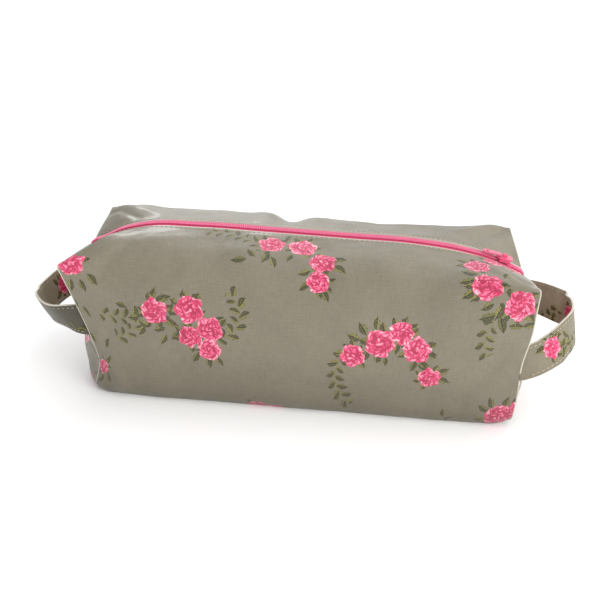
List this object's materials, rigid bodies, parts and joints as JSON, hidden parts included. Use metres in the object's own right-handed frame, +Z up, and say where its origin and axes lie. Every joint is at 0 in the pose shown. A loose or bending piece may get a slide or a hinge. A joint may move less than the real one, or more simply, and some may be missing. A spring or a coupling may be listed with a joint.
{
  "type": "makeup bag",
  "caption": "Boxed zip pouch in glossy floral coated cloth, with a strap loop at each end and a coil zip along its domed top.",
  "frame": {"origin": "middle of the flat base, on the surface the pouch stands on", "axes": "+X along the zip towards the closed slider's end, +Y towards the back, +Z up"},
  "size_m": [0.343, 0.098, 0.103],
  "materials": {
    "coated_cloth": "glossy coated cotton with a floral print",
    "lining_cloth": "matt cotton",
    "zip_tape": "woven polyester tape",
    "zip_coil": "nylon coil",
    "thread": "polyester thread",
    "slider_metal": "gloss enamel over zinc"
  },
  "bodies": {
    "pouch": {"front_outer_panel": "coated_cloth", "back_outer_panel": "coated_cloth", "front_lining": "lining_cloth", "back_lining": "lining_cloth", "front_zip_left_end": "zip_tape", "back_zip_left_end": "zip_tape", "front_zip_right_end": "zip_tape", "back_zip_right_end": "zip_tape", "left_strap_front_tail": "coated_cloth", "left_strap_back_tail": "coated_cloth", "right_strap_front_tail": "coated_cloth", "right_strap_back_tail": "coated_cloth"},
    "front_flap": {"front_flap_cloth": "coated_cloth", "front_flap_lining": "lining_cloth", "front_zip_tape": "zip_tape", "front_zip_coil": "zip_coil", "front_topstitch": "thread"},
    "back_flap": {"back_flap_cloth": "coated_cloth", "back_flap_lining": "lining_cloth", "back_zip_tape": "zip_tape", "back_zip_coil": "zip_coil", "back_topstitch": "thread"},
    "slider": {"zip_slider": "slider_metal", "slider_crown": "slider_metal"},
    "tab": {"pull_tab": "slider_metal"},
    "left_loop": {"left_strap_outer_ply": "coated_cloth", "left_strap_inner_ply": "coated_cloth", "left_strap_upper_stitch": "thread", "left_strap_lower_stitch": "thread"},
    "right_loop": {"right_strap_outer_ply": "coated_cloth", "right_strap_inner_ply": "coated_cloth", "right_strap_upper_stitch": "thread", "right_strap_lower_stitch": "thread"}
  },
  "joints": [
    {"name": "zip_run", "type": "hinge", "parent": "pouch", "child": "slider", "pos_m": [0, 0, -0.51721], "axis": [0, -1, 0], "range_deg": [0, 23.1]},
    {"name": "front_flap_open", "type": "hinge", "parent": "pouch", "child": "front_flap", "pos_m": [0, -0.0484, 0.0875], "axis": [1, 0, 0], "range_deg": [0, 74]},
    {"name": "back_flap_open", "type": "hinge", "parent": "pouch", "child": "back_flap", "pos_m": [0, 0.0484, 0.0875], "axis": [-1, 0, 0], "range_deg": [0, 74]},
    {"name": "pull_tab_flip", "type": "hinge", "parent": "slider", "child": "tab", "pos_m": [0.12462, 0, 0.09249], "axis": [0, 1, 0], "range_deg": [0, 165]},
    {"name": "left_loop_bend", "type": "hinge", "parent": "pouch", "child": "left_loop", "pos_m": [-0.14415, 0, 0.046], "axis": [0, 1, 0], "range_deg": [-45, 35]},
    {"name": "right_loop_bend", "type": "hinge", "parent": "pouch", "child": "right_loop", "pos_m": [0.14415, 0, 0.046], "axis": [0, -1, 0], "range_deg": [-64, 16]}
  ],
  "couplings": [
    {"joint": "front_flap_open", "follows": "zip_run", "ratio": 3.2},
    {"joint": "back_flap_open", "follows": "zip_run", "ratio": 3.2}
  ]
}
